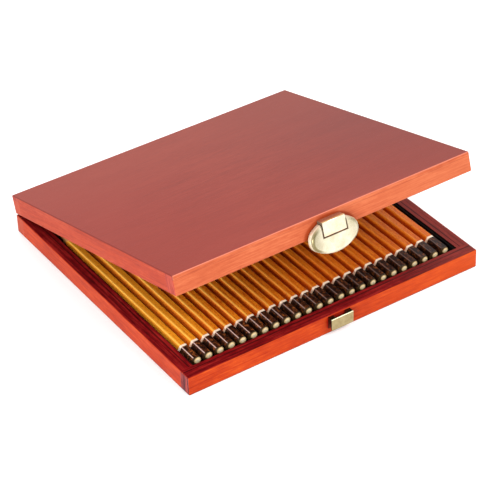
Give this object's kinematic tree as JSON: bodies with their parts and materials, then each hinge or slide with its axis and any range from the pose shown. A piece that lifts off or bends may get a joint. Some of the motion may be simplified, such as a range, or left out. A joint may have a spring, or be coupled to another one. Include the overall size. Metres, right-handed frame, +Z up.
{
  "type": "wooden pencil box",
  "caption": "Flat square wooden pencil box with a hinged lid and an oval brass latch, holding one layer of pencils in a notched tray.",
  "frame": {"origin": "centre of the base's underside, on the surface it stands on", "axes": "+X to the right along the hinges, +Y from the latch to the hinges, +Z up"},
  "size_m": [0.228, 0.2278, 0.086],
  "materials": {
    "base_wood": "red-stained hardwood, satin lacquer",
    "lid_wood": "red-stained hardwood, satin lacquer",
    "top_panel_wood": "red-stained veneered panel, satin lacquer",
    "bottom_panel_wood": "red-stained panel, satin",
    "tray_black": "thin matt black plastic",
    "pencil_lacquer": "ochre lacquer, with a cream ring and a dark dipped end",
    "graphite": "soft dark core",
    "foam": "soft black foam",
    "brass": "pale bright brass sheet"
  },
  "bodies": {
    "base": {"base_back_rail": "base_wood", "base_bottom_panel": "bottom_panel_wood", "base_front_rail": "base_wood", "base_hinge_leaf_left": "brass", "base_hinge_leaf_right": "brass", "base_hinge_screws": "brass", "base_left_rail": "base_wood", "base_right_rail": "base_wood", "catch_nails": "brass", "catch_plate": "brass", "hinge_pin_left": "brass", "hinge_pin_right": "brass", "pencil_01": "pencil_lacquer", "pencil_02": "pencil_lacquer", "pencil_03": "pencil_lacquer", "pencil_04": "pencil_lacquer", "pencil_05": "pencil_lacquer", "pencil_06": "pencil_lacquer", "pencil_07": "pencil_lacquer", "pencil_08": "pencil_lacquer", "pencil_09": "pencil_lacquer", "pencil_10": "pencil_lacquer", "pencil_11": "pencil_lacquer", "pencil_12": "pencil_lacquer", "pencil_13": "pencil_lacquer", "pencil_14": "pencil_lacquer", "pencil_15": "pencil_lacquer", "pencil_16": "pencil_lacquer", "pencil_17": "pencil_lacquer", "pencil_18": "pencil_lacquer", "pencil_19": "pencil_lacquer", "pencil_20": "pencil_lacquer", "pencil_21": "pencil_lacquer", "pencil_22": "pencil_lacquer", "pencil_23": "pencil_lacquer", "pencil_24": "pencil_lacquer", "pencil_cores": "graphite", "pencil_tray": "tray_black"},
    "lid": {"latch_bracket": "brass", "latch_bracket_screws": "brass", "latch_pin": "brass", "lid_back_rail": "lid_wood", "lid_foam_pad": "foam", "lid_front_rail": "lid_wood", "lid_hinge_leaf_left": "brass", "lid_hinge_leaf_right": "brass", "lid_hinge_screws": "brass", "lid_left_rail": "lid_wood", "lid_right_rail": "lid_wood", "lid_top_panel": "top_panel_wood"},
    "latch": {"latch_plate": "brass"}
  },
  "joints": [
    {"name": "lid_hinge", "type": "hinge", "parent": "base", "child": "lid", "pos_m": [0, 0.11195, 0.01405], "axis": [-1, 0, 0], "range_deg": [-15.3, 164.7]},
    {"name": "latch_pivot", "type": "hinge", "parent": "lid", "child": "latch", "pos_m": [0.0008, -0.10285, 0.08023], "axis": [-1, 0, 0], "range_deg": [-4, 105]}
  ]
}
